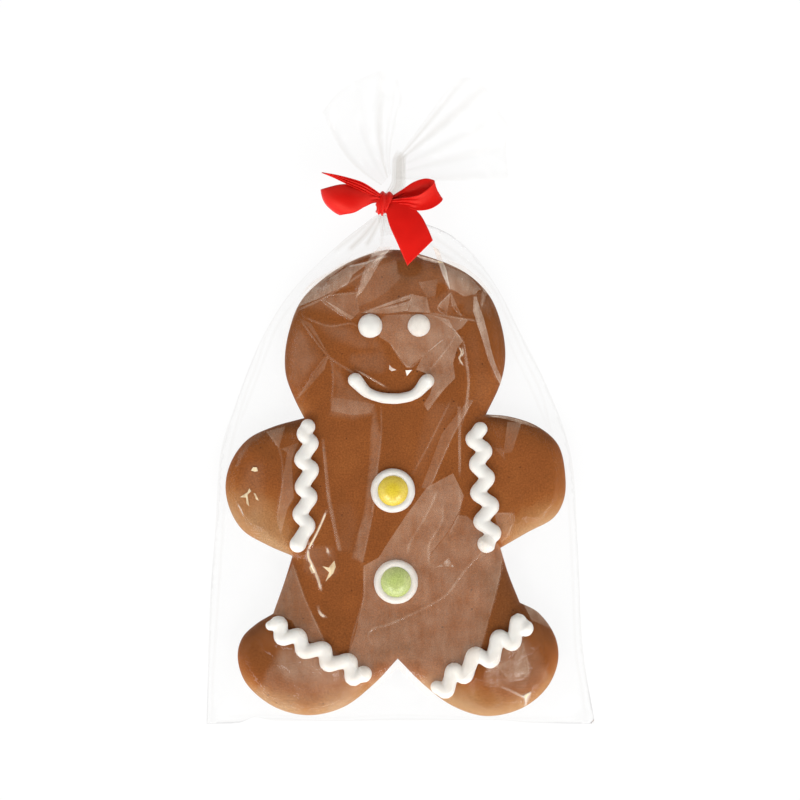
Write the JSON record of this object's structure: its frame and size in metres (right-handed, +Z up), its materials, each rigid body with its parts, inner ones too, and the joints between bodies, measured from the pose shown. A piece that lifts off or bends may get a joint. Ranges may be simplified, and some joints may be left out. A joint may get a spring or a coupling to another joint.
{
  "type": "gingerbread man cookie",
  "caption": "Iced gingerbread man in a clear film gift bag, gathered at the neck and tied with a red satin ribbon bow; lies flat, face up.",
  "frame": {"origin": "centre of the bounding box at the bottom: the middle of the flat bag on the surface it lies on", "axes": "+X to the right of the figure seen from above, +Y towards its head and the bow, +Z up out of the biscuit's iced face"},
  "size_m": [0.1796, 0.3003, 0.0313],
  "materials": {
    "film": "gloss",
    "satin": "satin",
    "gingerbread": "matte",
    "icing": "satin",
    "lentil_yellow": "satin",
    "lentil_green": "satin"
  },
  "bodies": {
    "root": {"bag": "film", "ribbon": "satin"}
  },
  "joints": []
}
